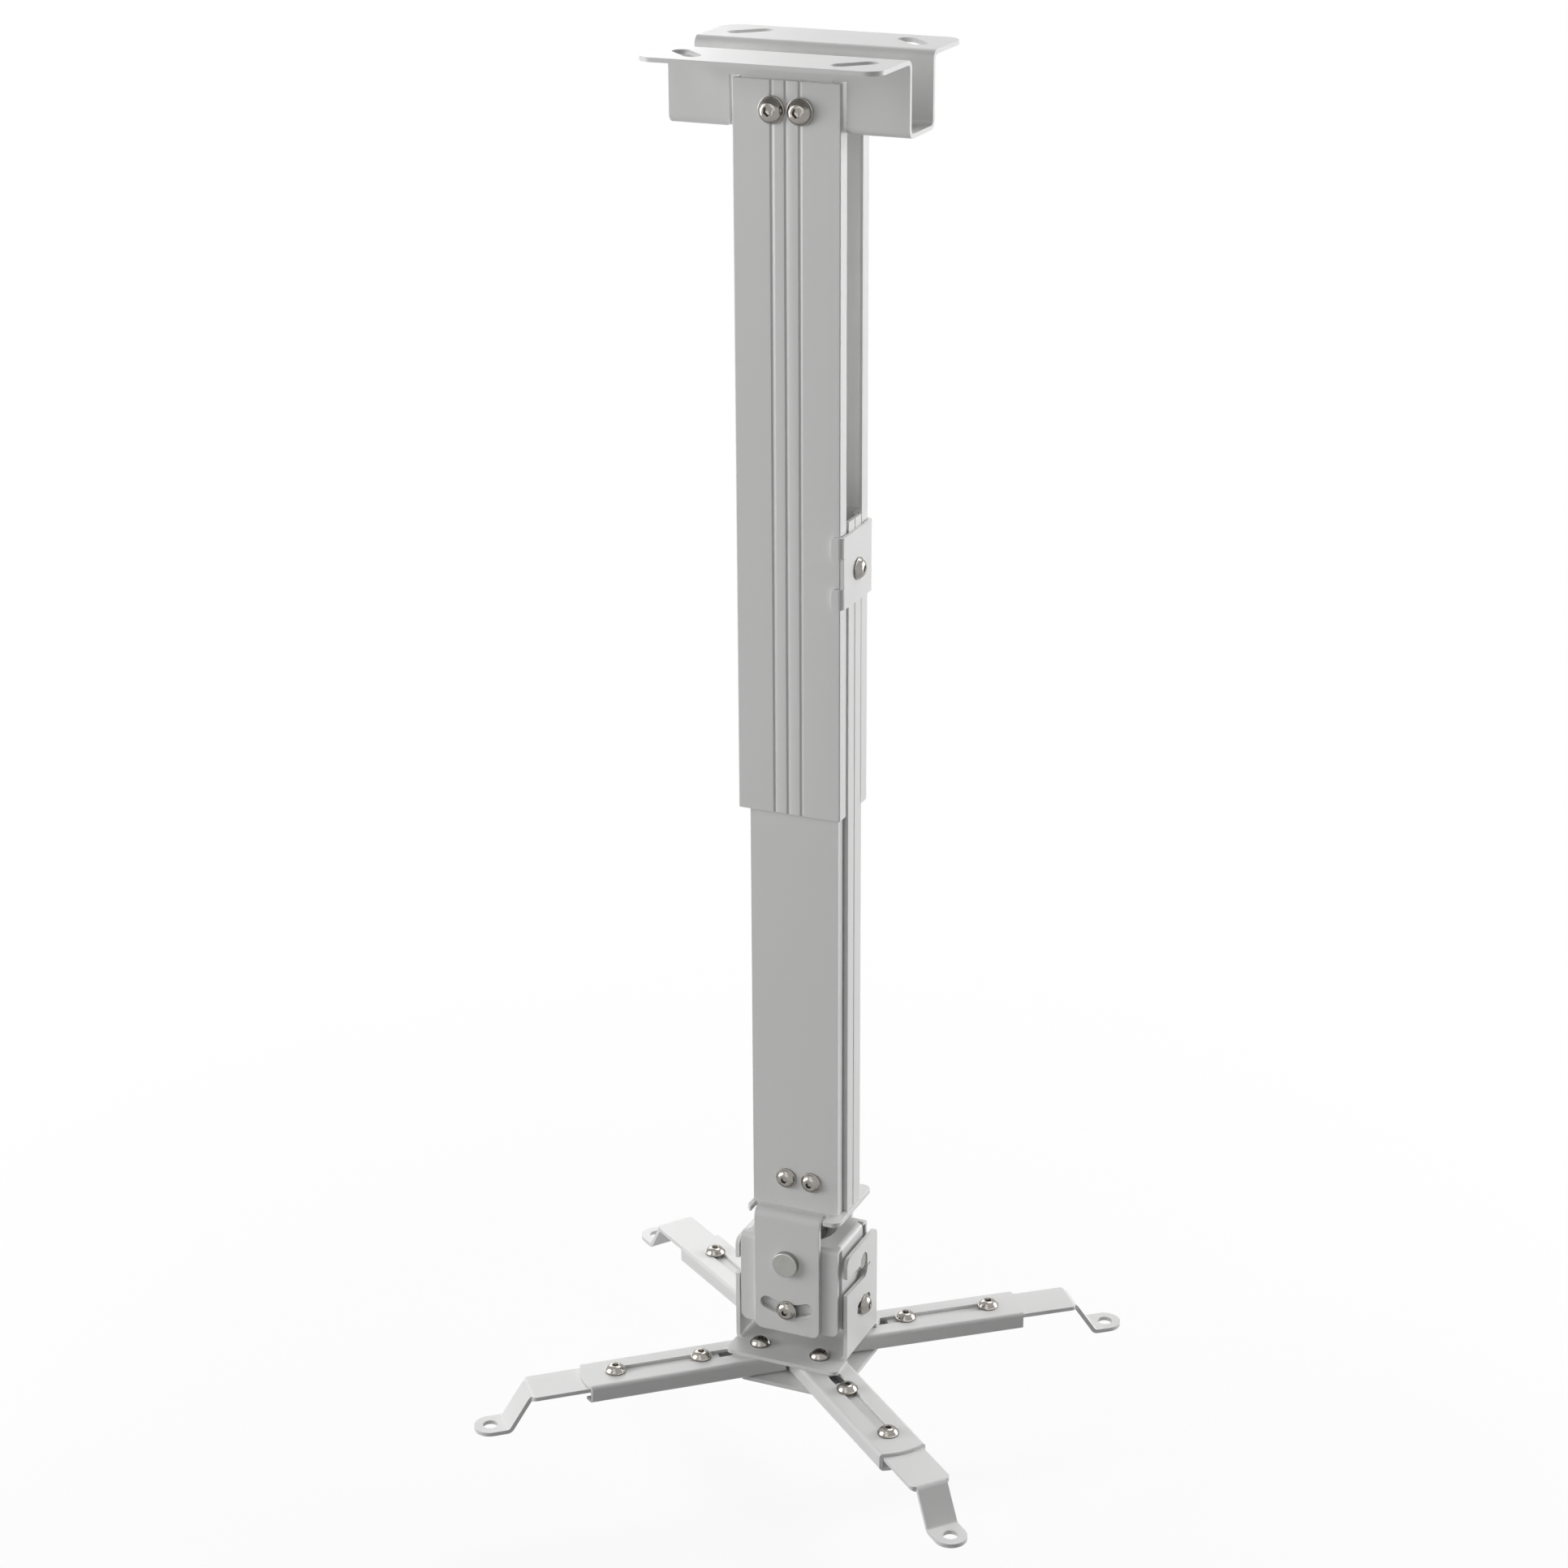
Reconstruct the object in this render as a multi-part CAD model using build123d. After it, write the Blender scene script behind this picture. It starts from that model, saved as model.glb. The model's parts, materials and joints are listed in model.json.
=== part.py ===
from build123d import *
import os

# Telescopic ceiling mount for a projector, drawn hanging: the ceiling face is z = 0 and
# the mast hangs towards -Z. +X runs along the front face to the right, +Y to the back.

# Sheet and clearances
sheet = 2.0
arm_sheet = 1.5
clip_sheet = 1.6
yoke_sheet = 2.5
bend_inner = 2.0
tight_bend_inner = 1.0
face_gap = 0.1
side_gap = 0.3
running_gap = 0.06
hole_gap = 0.3
thread_gap = 0.05
cut_over = 1.0

# Ceiling bracket
bracket_length = 112.0
bracket_height = 33.5
flange_width = 34.7
flange_corner = 8.0
ceiling_slot_width = 8.0
ceiling_slot_length = 21.5
ceiling_slot_x = 38.5
ceiling_slot_y = 33.0
ceiling_slot_angle = 45.0
slit_top = 11.0
slit_inner_margin = 3.25
slit_outer_margin = 1.95
slit_corner = 3.0

# Outer mast: a front and a back channel
mast_width = 50.5
mast_depth = 32.5
mast_web = 1.75
mast_side = 1.5
mast_side_depth = 7.3
mast_corner = 0.6
mast_top = 11.8
mast_length = 334.7
groove_pitch = 6.6
groove_width = 2.3
groove_depth = 0.7
groove_steep_side = 0.7
mast_bolt_pitch = 13.4
mast_bolt_drop = 12.8

# Inner mast: a hollow box with a rail on each side
inner_width = 44.0
inner_play = 0.7
inner_wall = 1.6
inner_shift = 1.5
inner_top = 206.3
inner_length = 344.7
rail_half_width = 7.25
rail_height = 2.2
rail_groove_width = 1.0
rail_groove_depth = 0.5
rail_notch = 1.0
end_bolt_left = -3.2
end_bolt_pitch = 12.9
end_bolt_rise = 15.3

# Clip that holds the inner mast against the outer channels
clip_top = 211.0
clip_height = 33.5
clip_tab_height = 9.5
clip_tab_reach = 3.6
clip_tab_corner = 1.5
clip_screw_drop = 18.5

# Bracket inside the lower end of the inner mast, with the swivel stud
end_length = 36.0
end_height = 30.0
stud_radius = 6.0
stud_head_radius = 14.5
stud_head_height = 16.5
stud_head_round = 12.4
stud_nut_width = 18.0
stud_nut_height = 6.5
stud_thread_over = 1.5

# Yoke
yoke_plate_left = 21.5
yoke_plate_right = 27.0
yoke_depth = 43.0
yoke_corner = 4.0
yoke_leg_width = 34.0
yoke_leg_drop = 65.0
yoke_leg_corner = 4.0
yoke_relief = 1.8
yoke_relief_depth = 6.5
roll_axis_drop = 26.5
roll_slot_radius = 26.0
roll_slot_width = 6.5
roll_slot_half_angle = 24.0
rivet_radius = 4.0
rivet_head_radius = 6.4
rivet_head_height = 3.0
rivet_head_round = 0.6
rivet_tail_radius = 5.4
rivet_tail_height = 1.8

# Cradle
cradle_width = 51.0
cradle_top_drop = 16.5
cradle_height = 47.0
cradle_corner = 3.5
cradle_side_half_depth = 13.0
cradle_relief = 0.8
cradle_hole_radius = 16.6
pitch_axis_drop = 16.0
pitch_axis_y = 5.2
hook_pin_radius = 4.0
hook_pin_shoulder_radius = 5.5
hook_pin_tail_radius = 5.0
hook_pin_tail_height = 1.5
hook_pin_end = 0.5

# Hook bracket
hook_width = 59.0
hook_wall_front = 16.0
hook_wall_back = 22.0
hook_wall_rise = 10.5
hook_wall_corner = 4.0
hook_base_depth = 58.6
hook_base_corner = 3.5
hook_base_drop = 46.0
hook_mouth_gap = 0.45
hook_seat_gap = 0.3
hook_lobe_rise = 5.2
hook_mouth_fall = 1.0
hook_nick_drop = 4.6
hook_nick_reach = 8.0
hook_nick_length = 4.8
hook_nick_width = 0.8
pitch_slot_radius = 24.0
pitch_slot_width = 6.5
pitch_slot_half_angle = 12.0
arm_pivot_x = 15.8
arm_pivot_y = 17.7

# Clamp plate under the arms
clamp_length = 62.0
clamp_depth = 64.0
clamp_corner = 12.0

# Arms
arm_width = 24.0
arm_height = 9.0
arm_lip = 5.5
arm_bend_inner = 0.5
arm_inner_end = 9.4
arm_outer_end = 90.4
arm_end_crown = 2.4
arm_slot_start = 13.7
arm_slot_end = 76.7
arm_slot_width = 6.4
arm_azimuths = {"front_left": 220.75, "front_right": 318.86, "back_right": 38.98, "back_left": 144.9}

# Feet that slide in the arms
foot_sheet = 2.0
foot_screw_inner = 30.2
foot_screw_outer = 73.4
foot_inner_end = 21.0
foot_shoulder = 117.0
foot_shoulder_radius = 2.3
foot_toe = 128.0
foot_bend = 3.0
foot_ear_width = 15.5
foot_ear_hole = 136.2
foot_ear_hole_radius = 3.6
foot_drop = 16.8

# Fasteners
small_flange_radius = 5.15
small_flange_height = 0.8
small_dome_radius = 4.4
small_dome_top = 2.5
small_head_height = 3.3
small_hex = 3.0
small_shank_radius = 2.5
large_flange_radius = 6.1
large_flange_height = 1.0
large_dome_radius = 5.6
large_dome_top = 3.2
large_head_height = 4.4
large_hex = 4.0
large_shank_radius = 3.0
socket_depth_share = 0.6
crown_bulge_share = 0.1
small_nut_width = 8.0
small_nut_height = 4.0
large_nut_width = 10.0
large_nut_height = 5.0
thread_over = 1.2
mast_nut_turn = 30.0

# Heights and faces that follow from the sizes above
mast_half_depth = mast_depth / 2
bracket_wall_outer = mast_half_depth - mast_web
bracket_wall_inner = bracket_wall_outer - sheet
bracket_half_depth = bracket_wall_outer + flange_width
mast_bolt_z = -mast_top - mast_bolt_drop
inner_half_depth = bracket_wall_outer - inner_play
inner_right = inner_shift + inner_width / 2
rail_face_right = inner_right + rail_height
inner_bottom_z = -inner_top - inner_length
end_bolt_z = inner_bottom_z + end_bolt_rise
end_wall_face = inner_half_depth - inner_wall
clip_screw_z = -clip_top - clip_screw_drop
yoke_top_z = inner_bottom_z
yoke_under_z = yoke_top_z - yoke_sheet
yoke_half_depth = yoke_depth / 2
yoke_leg_inner = yoke_half_depth - yoke_sheet
roll_axis_z = yoke_top_z - roll_axis_drop
roll_bolt_z = roll_axis_z - roll_slot_radius
cradle_top_z = yoke_top_z - cradle_top_drop
cradle_half_depth = yoke_leg_inner - side_gap
cradle_half_width = cradle_width / 2
pitch_axis_z = cradle_top_z - pitch_axis_drop
pitch_bolt_z = pitch_axis_z - pitch_slot_radius
hook_half_width = hook_width / 2
hook_wall_inner = hook_half_width - sheet
hook_base_under_z = pitch_axis_z - hook_base_drop
hook_base_top_z = hook_base_under_z + sheet
arm_top_z = hook_base_under_z - face_gap
arm_web_under_z = arm_top_z - arm_sheet
arm_bottom_z = arm_top_z - arm_height
clamp_top_z = arm_bottom_z - face_gap
clamp_bottom_z = clamp_top_z - sheet
foot_top_z = arm_web_under_z - face_gap
foot_bottom_z = foot_top_z - foot_sheet
foot_width = arm_width - 2 * arm_sheet - 2 * side_gap
arm_pivots = {
    "front_left": (-arm_pivot_x, -arm_pivot_y),
    "front_right": (arm_pivot_x, -arm_pivot_y),
    "back_right": (arm_pivot_x, arm_pivot_y),
    "back_left": (-arm_pivot_x, arm_pivot_y),
}


def prism(sketch, bottom, top):
    """A sketch of the XY plane raised from one height to another."""
    return extrude(Pos(0, 0, bottom) * sketch, amount=top - bottom)


def bar_along_x(sketch, left, right):
    """A YZ section carried from one X to another."""
    return extrude(Plane.YZ.offset(left) * sketch, amount=right - left)


def plate_facing_y(sketch, start, end):
    """An XZ outline carried from one Y to another."""
    return extrude(Plane((0, end, 0), x_dir=(1, 0, 0), z_dir=(0, -1, 0)) * sketch, amount=end - start)


def bent_section(points, inner_radius, thickness):
    """The closed section of a folded sheet, from the middle line of its folds."""
    middle = FilletPolyline(*points, radius=inner_radius + thickness / 2)
    return trace(middle, line_width=thickness)


def turned(profile_points):
    """A turned piece about Z from its half section, given as radius and height."""
    return revolve(Plane.XZ * make_face(Polyline(*profile_points, close=True)), Axis.Z)


def flanged_screw(length, shank, flange, flange_height, dome, dome_top, height, hex_width):
    """A button screw with its seat at z = 0, its head above and its shank below."""
    outline = Polyline(
        (dome_top, height), (0, height), (0, -length), (shank, -length), (shank, 0), (flange, 0),
        (flange, flange_height), (dome, flange_height),
    )
    bulge = height * crown_bulge_share
    middle = ((dome + dome_top) / 2 + bulge, (flange_height + height) / 2 + bulge)
    crown = ThreePointArc((dome, flange_height), middle, (dome_top, height))
    body = revolve(Plane.XZ * make_face([outline, crown]), Axis.Z)
    socket_depth = height * socket_depth_share
    socket = RegularPolygon(hex_width / 2, 6, major_radius=False)
    return body - prism(socket, height - socket_depth, height + cut_over)


def small_screw(length):
    return flanged_screw(
        length, small_shank_radius, small_flange_radius, small_flange_height,
        small_dome_radius, small_dome_top, small_head_height, small_hex,
    )


def large_screw(length):
    return flanged_screw(
        length, large_shank_radius, large_flange_radius, large_flange_height,
        large_dome_radius, large_dome_top, large_head_height, large_hex,
    )


def hex_nut(width, height, shank):
    """A nut below z = 0."""
    section = RegularPolygon(width / 2, 6, major_radius=False) - Circle(shank + thread_gap)
    return prism(section, -height, 0)


def seated(piece, position, outward):
    """The piece with its own +Z turned to the outward direction at a position."""
    return Plane(position, z_dir=outward) * piece


def mirrored_pair(piece, about):
    return [piece, mirror(piece, about=about)]


def ceiling_bracket():
    half_sheet = sheet / 2
    wall_middle = bracket_wall_outer - half_sheet
    bottom_middle = -bracket_height + half_sheet
    section = bent_section(
        [
            (-bracket_half_depth, -half_sheet), (-wall_middle, -half_sheet), (-wall_middle, bottom_middle),
            (wall_middle, bottom_middle), (wall_middle, -half_sheet), (bracket_half_depth, -half_sheet),
        ],
        bend_inner, sheet,
    )
    hat = bar_along_x(section, -bracket_length / 2, bracket_length / 2)
    outline = RectangleRounded(bracket_length, 2 * bracket_half_depth, flange_corner)
    hat = hat & prism(outline, -bracket_height - cut_over, cut_over)
    slots = []
    for x_side in (-1, 1):
        for y_side in (-1, 1):
            slot = SlotOverall(ceiling_slot_length, ceiling_slot_width)
            turn = Rot(0, 0, -x_side * y_side * ceiling_slot_angle)
            slots.append(Pos(x_side * ceiling_slot_x, y_side * ceiling_slot_y) * turn * slot)
    hat -= prism(Sketch() + slots, -sheet - cut_over, cut_over)
    slit_inner = mast_width / 2 - mast_side - slit_inner_margin
    slit_outer = mast_width / 2 + slit_outer_margin
    slit_bottom = -bracket_height - cut_over
    slit_height = -slit_top - slit_bottom
    slit = Pos((slit_inner + slit_outer) / 2, slit_bottom + slit_height / 2) * Rectangle(
        slit_outer - slit_inner, slit_height
    )
    flare_centre = (slit_outer + slit_corner, -bracket_height + slit_corner)
    flare = Pos(slit_outer + slit_corner / 2, -bracket_height + slit_corner / 2) * Rectangle(
        slit_corner, slit_corner
    ) - Pos(*flare_centre) * Circle(slit_corner)
    slit_depth = mast_half_depth - mast_side_depth - side_gap
    for y_side in (-1, 1):
        near, far = sorted((y_side * slit_depth, y_side * (bracket_wall_outer + cut_over)))
        for shape in (slit, flare):
            hat -= mirrored_pair(plate_facing_y(shape, near, far), Plane.YZ)
    bolt_holes = [
        Pos(side * mast_bolt_pitch / 2, mast_bolt_z) * Circle(large_shank_radius + hole_gap)
        for side in (-1, 1)
    ]
    return hat - plate_facing_y(Sketch() + bolt_holes, -mast_half_depth, mast_half_depth)


def outer_channel():
    """The front channel. Its side flanges point to the back."""
    outer_y = -mast_half_depth
    outer = Pos(0, outer_y + mast_side_depth / 2) * Rectangle(mast_width, mast_side_depth)
    hollow_depth = mast_side_depth - mast_web + cut_over
    hollow = Pos(0, outer_y + mast_web + hollow_depth / 2) * Rectangle(
        mast_width - 2 * mast_side, hollow_depth
    )
    section = outer - hollow
    front_corners = section.vertices().group_by(Axis.Y)[0]
    section = fillet(front_corners, mast_corner)
    half_groove = groove_width / 2
    groove = make_face(Polyline(
        (-half_groove, outer_y - cut_over), (-half_groove, outer_y),
        (groove_steep_side - half_groove, outer_y + groove_depth), (half_groove, outer_y),
        (half_groove, outer_y - cut_over), close=True,
    ))
    for index in (-1, 0, 1):
        section -= Pos(index * groove_pitch, 0) * groove
    channel = prism(section, -mast_top - mast_length, -mast_top)
    holes = [
        Pos(side * mast_bolt_pitch / 2, mast_bolt_z) * Circle(large_shank_radius + hole_gap)
        for side in (-1, 1)
    ]
    return channel - plate_facing_y(Sketch() + holes, outer_y - cut_over, -bracket_wall_inner)


def mast_bolts(front):
    grip = mast_half_depth - bracket_wall_inner
    length = grip + large_nut_height + thread_over
    side_y = -1 if front else 1
    return [
        seated(large_screw(length), (side * mast_bolt_pitch / 2, side_y * mast_half_depth, mast_bolt_z),
               (0, side_y, 0))
        for side in (-1, 1)
    ]


def mast_nuts(front):
    side_y = -1 if front else 1
    nut = Rot(0, 0, mast_nut_turn) * hex_nut(large_nut_width, large_nut_height, large_shank_radius)
    return [
        seated(nut, (side * mast_bolt_pitch / 2, side_y * bracket_wall_inner, mast_bolt_z), (0, side_y, 0))
        for side in (-1, 1)
    ]


def inner_mast():
    box = Rectangle(inner_width, 2 * inner_half_depth)
    rail = Rectangle(inner_width + 2 * rail_height, 2 * rail_half_width)
    hollow = Rectangle(inner_width - 2 * inner_wall, 2 * end_wall_face)
    rail_hollow = Rectangle(inner_width + 2 * (rail_height - inner_wall), 2 * (rail_half_width - inner_wall))
    section = box + rail - hollow - rail_hollow
    for side in (-1, 1):
        rail_face = side * (inner_width / 2 + rail_height)
        section -= Pos(rail_face, 0) * Rectangle(2 * rail_groove_depth, rail_groove_width)
        for edge in (-1, 1):
            notch_x = side * inner_width / 2
            notch_y = edge * (rail_half_width + rail_notch / 2)
            section -= Pos(notch_x, notch_y) * Rectangle(rail_notch, rail_notch)
    mast = prism(Pos(inner_shift, 0) * section, inner_bottom_z, -inner_top)
    screw_hole = Pos(0, clip_screw_z) * Circle(small_shank_radius + hole_gap)
    mast -= bar_along_x(screw_hole, inner_shift, rail_face_right + cut_over)
    return mast - plate_facing_y(end_bolt_holes(), -inner_half_depth - cut_over, inner_half_depth + cut_over)


def end_bolt_holes():
    return Sketch() + [
        Pos(end_bolt_left + index * end_bolt_pitch, end_bolt_z) * Circle(small_shank_radius + hole_gap)
        for index in range(2)
    ]


def mast_clip():
    plate_face = rail_face_right
    tab_face = mast_half_depth + face_gap + clip_sheet / 2
    tab_tip = mast_width / 2 - clip_tab_reach
    middle_x = plate_face + clip_sheet / 2
    section = bent_section(
        [(tab_tip, -tab_face), (middle_x, -tab_face), (middle_x, tab_face), (tab_tip, tab_face)],
        tight_bend_inner, clip_sheet,
    )
    clip = prism(section, -clip_top - clip_height, -clip_top)
    window_height = clip_height - 2 * clip_tab_height
    window_z = -clip_top - clip_height / 2
    window_start = mast_half_depth - face_gap
    window_width = clip_sheet + clip_tab_reach + cut_over
    middle_window = SlotOverall(2 * (window_width + rail_height), window_height)
    for y_side in (-1, 1):
        near, far = sorted((y_side * window_start, y_side * (tab_face + clip_sheet)))
        clip -= plate_facing_y(Pos(middle_x, window_z) * middle_window, near, far)
    tips = clip.edges().filter_by(Axis.Y).group_by(Axis.X)[0]
    clip = fillet(tips, clip_tab_corner)
    screw_hole = Pos(0, clip_screw_z) * Circle(small_shank_radius + hole_gap)
    return clip - bar_along_x(screw_hole, plate_face - cut_over, plate_face + clip_sheet + cut_over)


def clip_screw():
    inner_face = rail_face_right - inner_wall
    seat_x = rail_face_right + clip_sheet
    length = seat_x - inner_face + small_nut_height + thread_over
    return seated(small_screw(length), (seat_x, 0, clip_screw_z), (1, 0, 0))


def clip_nut():
    inner_face = rail_face_right - inner_wall
    nut = hex_nut(small_nut_width, small_nut_height, small_shank_radius)
    return seated(nut, (inner_face, 0, clip_screw_z), (1, 0, 0))


def end_bracket():
    """The folded bracket bolted inside the mast's lower end."""
    wall_middle = end_wall_face - face_gap - sheet / 2
    base_middle = inner_bottom_z + sheet / 2
    top = inner_bottom_z + end_height
    section = bent_section(
        [(-wall_middle, top), (-wall_middle, base_middle), (wall_middle, base_middle), (wall_middle, top)],
        tight_bend_inner, sheet,
    )
    bracket = bar_along_x(section, inner_shift - end_length / 2, inner_shift + end_length / 2)
    bracket -= prism(Circle(stud_radius + hole_gap), inner_bottom_z - cut_over, inner_bottom_z + sheet + cut_over)
    return bracket - plate_facing_y(end_bolt_holes(), -inner_half_depth, inner_half_depth)


def end_bolts(front):
    nut_face = end_wall_face - face_gap - sheet
    length = inner_half_depth - nut_face + small_nut_height + thread_over
    side_y = -1 if front else 1
    return [
        seated(small_screw(length), (end_bolt_left + index * end_bolt_pitch, side_y * inner_half_depth,
                                     end_bolt_z), (0, side_y, 0))
        for index in range(2)
    ]


def end_nuts(front):
    nut_face = end_wall_face - face_gap - sheet
    side_y = -1 if front else 1
    nut = hex_nut(small_nut_width, small_nut_height, small_shank_radius)
    return [
        seated(nut, (end_bolt_left + index * end_bolt_pitch, side_y * nut_face, end_bolt_z),
               (0, side_y, 0))
        for index in range(2)
    ]


def swivel_stud():
    top = inner_bottom_z + sheet + stud_nut_height + stud_thread_over
    bottom = yoke_under_z - stud_head_height
    body = turned([
        (0, top), (stud_radius, top), (stud_radius, yoke_under_z), (stud_head_radius, yoke_under_z),
        (stud_head_radius, bottom), (0, bottom),
    ])
    rim = body.edges().filter_by(GeomType.CIRCLE).group_by(Axis.Z)[0]
    return fillet(rim, stud_head_round)


def swivel_nut():
    nut = hex_nut(stud_nut_width, stud_nut_height, stud_radius)
    return Pos(0, 0, inner_bottom_z + sheet + stud_nut_height) * nut


def yoke():
    leg_middle = yoke_half_depth - yoke_sheet / 2
    top_middle = yoke_top_z - yoke_sheet / 2
    leg_end = yoke_top_z - yoke_leg_drop
    section = bent_section(
        [(-leg_middle, leg_end), (-leg_middle, top_middle), (leg_middle, top_middle), (leg_middle, leg_end)],
        bend_inner, yoke_sheet,
    )
    half_leg = yoke_leg_width / 2
    strap = bar_along_x(section, -half_leg, half_leg)
    leg_corners = strap.edges().filter_by(Axis.Y).group_by(Axis.Z)[0]
    strap = fillet(leg_corners, yoke_leg_corner)
    plate = Pos((yoke_plate_right - yoke_plate_left) / 2, 0) * RectangleRounded(
        yoke_plate_left + yoke_plate_right, yoke_depth, yoke_corner
    )
    notch_width = yoke_leg_width + 2 * yoke_relief
    bend_outer = bend_inner + yoke_sheet
    bend_depth = max(bend_outer, yoke_relief_depth)
    for y_side in (-1, 1):
        plate -= Pos(0, y_side * (yoke_half_depth - bend_depth / 2)) * Rectangle(notch_width, bend_depth)
    body = strap + prism(plate, yoke_under_z, yoke_top_z)
    body -= prism(Circle(stud_radius + running_gap), yoke_under_z - cut_over, yoke_top_z + cut_over)
    sweep = 2 * roll_slot_half_angle
    slot_line = CenterArc((0, roll_axis_z), roll_slot_radius, -90 - roll_slot_half_angle, sweep)
    leg_cuts = SlotArc(slot_line, roll_slot_width) + Pos(0, roll_axis_z) * Circle(rivet_radius + running_gap)
    return body - plate_facing_y(leg_cuts, -yoke_half_depth - cut_over, yoke_half_depth + cut_over)


def cradle():
    """The box-shaped cradle: a top plate with four flaps folded down."""
    bottom_z = cradle_top_z - cradle_height
    top_middle = cradle_top_z - sheet / 2
    y_middle = cradle_half_depth - sheet / 2
    x_middle = cradle_half_width - sheet / 2
    front_section = bent_section(
        [(-y_middle, bottom_z), (-y_middle, top_middle), (y_middle, top_middle), (y_middle, bottom_z)],
        tight_bend_inner, sheet,
    )
    side_section = bent_section(
        [(-x_middle, bottom_z), (-x_middle, top_middle), (x_middle, top_middle), (x_middle, bottom_z)],
        tight_bend_inner, sheet,
    )
    front_flaps = bar_along_x(front_section, -cradle_half_width, cradle_half_width)
    front_flaps = fillet(front_flaps.edges().filter_by(Axis.Y).group_by(Axis.Z)[0], cradle_corner)
    bend_outer = tight_bend_inner + sheet
    side_room = Rectangle(2 * bend_outer, 2 * (cradle_side_half_depth + cradle_relief))
    for side in (-1, 1):
        front_flaps -= prism(Pos(side * cradle_half_width, 0) * side_room, bottom_z, cradle_top_z + cut_over)
    side_flaps = plate_facing_y(side_section, -cradle_side_half_depth, cradle_side_half_depth)
    side_flaps = fillet(side_flaps.edges().filter_by(Axis.X).group_by(Axis.Z)[0], cradle_corner)
    body = front_flaps + side_flaps
    body -= prism(Circle(cradle_hole_radius), cradle_top_z - sheet - cut_over, cradle_top_z + cut_over)
    rivet_hole = Pos(0, roll_axis_z) * Circle(rivet_radius + thread_gap)
    roll_hole = Pos(0, roll_bolt_z) * Circle(small_shank_radius + hole_gap)
    pin_hole = Pos(pitch_axis_y, pitch_axis_z) * Circle(hook_pin_radius + thread_gap)
    pitch_hole = Pos(pitch_axis_y, pitch_bolt_z) * Circle(small_shank_radius + hole_gap)
    body -= plate_facing_y(rivet_hole + roll_hole, -cradle_half_depth - cut_over, cradle_half_depth + cut_over)
    return body - bar_along_x(pin_hole + pitch_hole, -cradle_half_width - cut_over,
                              cradle_half_width + cut_over)


def roll_rivet():
    """The front rivet, with its head outside the yoke and its tail inside the cradle."""
    grip = yoke_half_depth - (cradle_half_depth - sheet)
    body = turned([
        (0, rivet_head_height), (rivet_head_radius, rivet_head_height), (rivet_head_radius, 0),
        (rivet_radius, 0), (rivet_radius, -grip), (rivet_tail_radius, -grip),
        (rivet_tail_radius, -grip - rivet_tail_height), (0, -grip - rivet_tail_height),
    ])
    rim = body.edges().filter_by(GeomType.CIRCLE).group_by(Axis.Z)[-1]
    body = fillet(rim, rivet_head_round)
    return seated(body, (0, -yoke_half_depth, roll_axis_z), (0, -1, 0))


def roll_bolt():
    grip = yoke_half_depth - (cradle_half_depth - sheet)
    screw = small_screw(grip + small_nut_height + thread_over)
    return seated(screw, (0, -yoke_half_depth, roll_bolt_z), (0, -1, 0))


def roll_nut():
    nut = hex_nut(small_nut_width, small_nut_height, small_shank_radius)
    return seated(nut, (0, -(cradle_half_depth - sheet), roll_bolt_z), (0, -1, 0))


def hook_pin():
    """The right pin: a tail inside the cradle, a shoulder, and the journal that the hook hangs on."""
    wall = cradle_half_width - sheet
    shoulder_end = hook_wall_inner - face_gap
    pin_end = hook_half_width - hook_pin_end
    body = turned([
        (0, pin_end), (hook_pin_radius, pin_end), (hook_pin_radius, shoulder_end),
        (hook_pin_shoulder_radius, shoulder_end), (hook_pin_shoulder_radius, cradle_half_width),
        (hook_pin_radius, cradle_half_width), (hook_pin_radius, wall), (hook_pin_tail_radius, wall),
        (hook_pin_tail_radius, wall - hook_pin_tail_height), (0, wall - hook_pin_tail_height),
    ])
    return seated(body, (0, pitch_axis_y, pitch_axis_z), (1, 0, 0))


def pitch_bolt():
    inner_face = cradle_half_width - sheet
    screw = small_screw(hook_half_width - inner_face + small_nut_height + thread_over)
    return seated(screw, (hook_half_width, pitch_axis_y, pitch_bolt_z), (1, 0, 0))


def pitch_nut():
    nut = hex_nut(small_nut_width, small_nut_height, small_shank_radius)
    return seated(nut, (cradle_half_width - sheet, pitch_axis_y, pitch_bolt_z), (1, 0, 0))


def hook_cut():
    """The open hook in a side wall, as a YZ outline: a mouth at the front and a lobe that hangs on the pin."""
    mouth_half = hook_pin_radius + hook_mouth_gap
    floor_z = pitch_axis_z - hook_lobe_rise
    front_y = -hook_wall_front - cut_over
    mouth_z = floor_z + hook_mouth_fall
    mouth = Polyline(
        (front_y, mouth_z - mouth_half), (pitch_axis_y, floor_z - mouth_half),
        (pitch_axis_y, floor_z + mouth_half), (front_y, mouth_z + mouth_half), close=True,
    )
    lobe_radius = hook_pin_radius + hook_seat_gap
    neck = Pos(pitch_axis_y, (floor_z + pitch_axis_z) / 2) * Rectangle(2 * lobe_radius, hook_lobe_rise)
    shape = make_face(mouth) + Pos(pitch_axis_y, floor_z) * Circle(mouth_half) + neck
    shape += Pos(pitch_axis_y, pitch_axis_z) * Circle(lobe_radius)
    nick_y = pitch_axis_y + hook_nick_reach - hook_nick_length / 2
    return shape + Pos(nick_y, pitch_axis_z - hook_nick_drop) * SlotOverall(hook_nick_length, hook_nick_width)


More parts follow.
